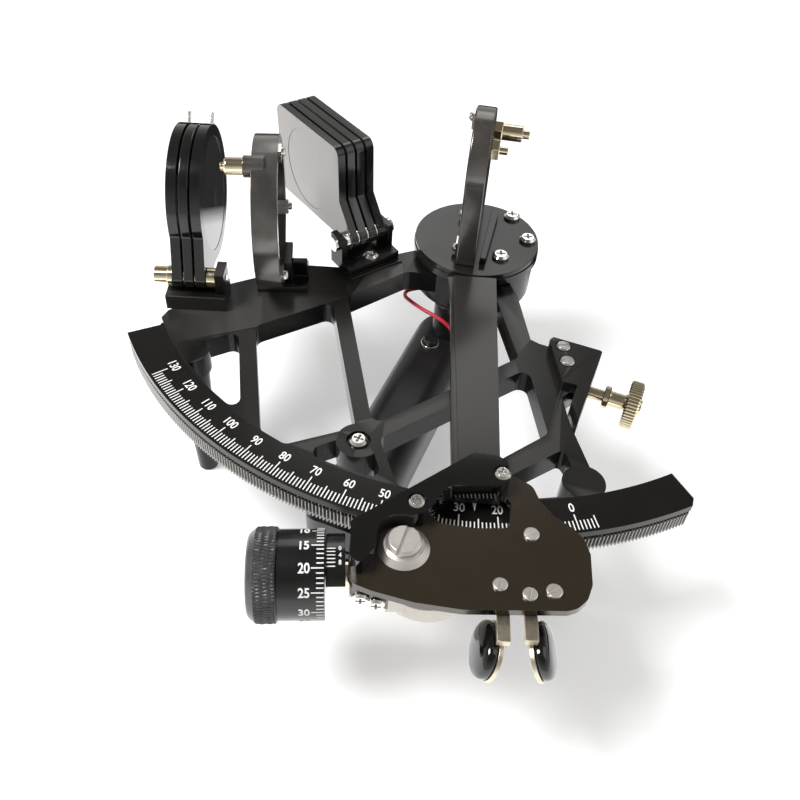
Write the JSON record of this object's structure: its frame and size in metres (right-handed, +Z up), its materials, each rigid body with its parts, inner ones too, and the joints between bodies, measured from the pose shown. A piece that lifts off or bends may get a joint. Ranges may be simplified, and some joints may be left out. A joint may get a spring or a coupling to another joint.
{
  "type": "marine sextant",
  "caption": "Marine sextant with a toothed arc, swinging index arm, micrometer drum and worm, two mirrors, horizon and index shades, telescope bracket and battery grip.",
  "frame": {"origin": "centre of the pivot leg's foot face on the rest plane, under the index arm's pivot", "axes": "+Z up, the arc lies towards -Y, larger readings lie towards -X"},
  "size_m": [0.2439, 0.2359, 0.1411],
  "materials": {
    "frame_enamel": "satin black baked enamel on a cast frame",
    "arc_metal": "dark enamelled arc face with bare metal rim and rack",
    "plate_enamel": "glossy brown-black enamel with machined edge",
    "cover_plastic": "glossy black moulded cover",
    "shade_enamel": "satin black shade frames",
    "neutral_glass": "tinted neutral glass",
    "mirror_glass": "silvered glass",
    "bright_chrome": "chrome plated screws, clips and pins",
    "gold_brass": "turned brass with a pale gold plating",
    "turned_steel": "turned steel",
    "cream_casting": "cream coated carriage casting",
    "drum_black": "anodised black drum with white engraved scale",
    "grip_plastic": "moulded black grip",
    "lead_red": "red insulated lead"
  },
  "bodies": {
    "base": {"frame": "frame_enamel", "graduated_arc": "arc_metal", "pivot_bush": "gold_brass", "pivot_leg": "frame_enamel", "arc_legs": "frame_enamel", "handle_grip": "grip_plastic", "handle_posts": "frame_enamel", "battery_cap": "grip_plastic", "lamp_lead": "lead_red", "switch_ring": "bright_chrome", "horizon_mirror_bracket": "frame_enamel", "horizon_mirror_frame": "frame_enamel", "horizon_mirror": "mirror_glass", "horizon_mirror_clips": "bright_chrome", "horizon_mirror_adjusters": "gold_brass", "horizon_shade_block": "frame_enamel", "horizon_shade_pin": "gold_brass", "index_shade_block": "frame_enamel", "index_shade_pin": "bright_chrome", "frame_screws": "bright_chrome", "telescope_bracket": "frame_enamel"},
    "arm": {"index_arm": "frame_enamel", "pivot_spindle": "turned_steel", "mirror_base": "frame_enamel", "arm_screws": "bright_chrome", "index_mirror_frame": "frame_enamel", "index_mirror": "mirror_glass", "index_mirror_clips": "bright_chrome", "index_mirror_adjusters": "gold_brass", "end_plate": "plate_enamel", "arm_cover": "cover_plastic", "plate_screws": "bright_chrome", "carriage_pivot_screw": "bright_chrome"},
    "carriage": {"worm_carriage": "cream_casting", "worm_bush": "gold_brass", "vernier_sleeve": "drum_black"},
    "drum": {"micrometer_drum": "drum_black", "worm": "turned_steel"},
    "lever_left": {"release_lever_left": "turned_steel", "release_pad_left": "grip_plastic"},
    "lever_right": {"release_lever_right": "turned_steel", "release_pad_right": "grip_plastic"},
    "hshade_1": {"horizon_shade_1": "shade_enamel", "horizon_shade_glass_1": "neutral_glass", "shade_pull_1": "bright_chrome"},
    "hshade_2": {"horizon_shade_2": "shade_enamel", "horizon_shade_glass_2": "neutral_glass"},
    "hshade_3": {"horizon_shade_3": "shade_enamel", "horizon_shade_glass_3": "neutral_glass", "shade_pull_3": "bright_chrome"},
    "ishade_1": {"index_shade_1": "shade_enamel", "index_shade_glass_1": "neutral_glass"},
    "ishade_2": {"index_shade_2": "shade_enamel", "index_shade_glass_2": "neutral_glass"},
    "ishade_3": {"index_shade_3": "shade_enamel", "index_shade_glass_3": "neutral_glass"},
    "ishade_4": {"index_shade_4": "shade_enamel", "index_shade_glass_4": "neutral_glass"},
    "thumbscrew": {"telescope_thumbscrew": "gold_brass"},
    "switch": {"light_switch": "grip_plastic"}
  },
  "joints": [
    {"name": "drum_spin", "type": "hinge", "parent": "carriage", "child": "drum", "pos_m": [0.0086, -0.18289, 0.0625], "axis": [-0.91, -0.4146, 0], "range_deg": [-10890, 37710]},
    {"name": "arm_swing", "type": "hinge", "parent": "base", "child": "arm", "pos_m": [0, 0, 0.072], "axis": [0, 0, -1], "range_deg": [-15.12, 52.38]},
    {"name": "release_left", "type": "hinge", "parent": "arm", "child": "lever_left", "pos_m": [0.06515, -0.17453, 0.076], "axis": [0, 0, 1], "range_deg": [0, 5], "stiffness_Nm_per_rad": 0.3},
    {"name": "release_right", "type": "hinge", "parent": "arm", "child": "lever_right", "pos_m": [0.07473, -0.17415, 0.076], "axis": [0, 0, -1], "range_deg": [0, 5]},
    {"name": "carriage_swing", "type": "hinge", "parent": "arm", "child": "carriage", "pos_m": [0.03245, -0.17394, 0.072], "axis": [0, 0, -1], "range_deg": [0, 1.6]},
    {"name": "horizon_shade_1_hinge", "type": "hinge", "parent": "base", "child": "hshade_1", "pos_m": [-0.10324, -0.08848, 0.084], "axis": [0.9361, 0.3518, 0], "range_deg": [0, 75]},
    {"name": "horizon_shade_2_hinge", "type": "hinge", "parent": "base", "child": "hshade_2", "pos_m": [-0.09875, -0.08679, 0.084], "axis": [0.9361, 0.3518, 0], "range_deg": [0, 75]},
    {"name": "horizon_shade_3_hinge", "type": "hinge", "parent": "base", "child": "hshade_3", "pos_m": [-0.09425, -0.0851, 0.084], "axis": [0.9361, 0.3518, 0], "range_deg": [0, 75]},
    {"name": "index_shade_1_hinge", "type": "hinge", "parent": "base", "child": "ishade_1", "pos_m": [-0.04984, -0.03261, 0.084], "axis": [-0.5592, -0.829, 0], "range_deg": [-50, 0]},
    {"name": "index_shade_2_hinge", "type": "hinge", "parent": "base", "child": "ishade_2", "pos_m": [-0.04716, -0.02863, 0.084], "axis": [-0.5592, -0.829, 0], "range_deg": [-50, 0]},
    {"name": "index_shade_3_hinge", "type": "hinge", "parent": "base", "child": "ishade_3", "pos_m": [-0.04448, -0.02465, 0.084], "axis": [-0.5592, -0.829, 0], "range_deg": [-50, 0]},
    {"name": "index_shade_4_hinge", "type": "hinge", "parent": "base", "child": "ishade_4", "pos_m": [-0.04179, -0.02067, 0.084], "axis": [-0.5592, -0.829, 0], "range_deg": [-50, 0]},
    {"name": "thumbscrew_turn", "type": "hinge", "parent": "base", "child": "thumbscrew", "pos_m": [0.086, -0.0683, 0.07], "axis": [1, 0, 0], "continuous": true},
    {"name": "light_press", "type": "slide", "parent": "base", "child": "switch", "axis": [0, 0, -1], "range_m": [0, 0.0015], "stiffness_N_per_m": 300}
  ],
  "couplings": [
    {"joint": "arm_swing", "follows": "drum_spin", "ratio": 0.0013889},
    {"joint": "release_right", "follows": "release_left", "ratio": 1},
    {"joint": "carriage_swing", "follows": "release_left", "ratio": 0.32}
  ]
}
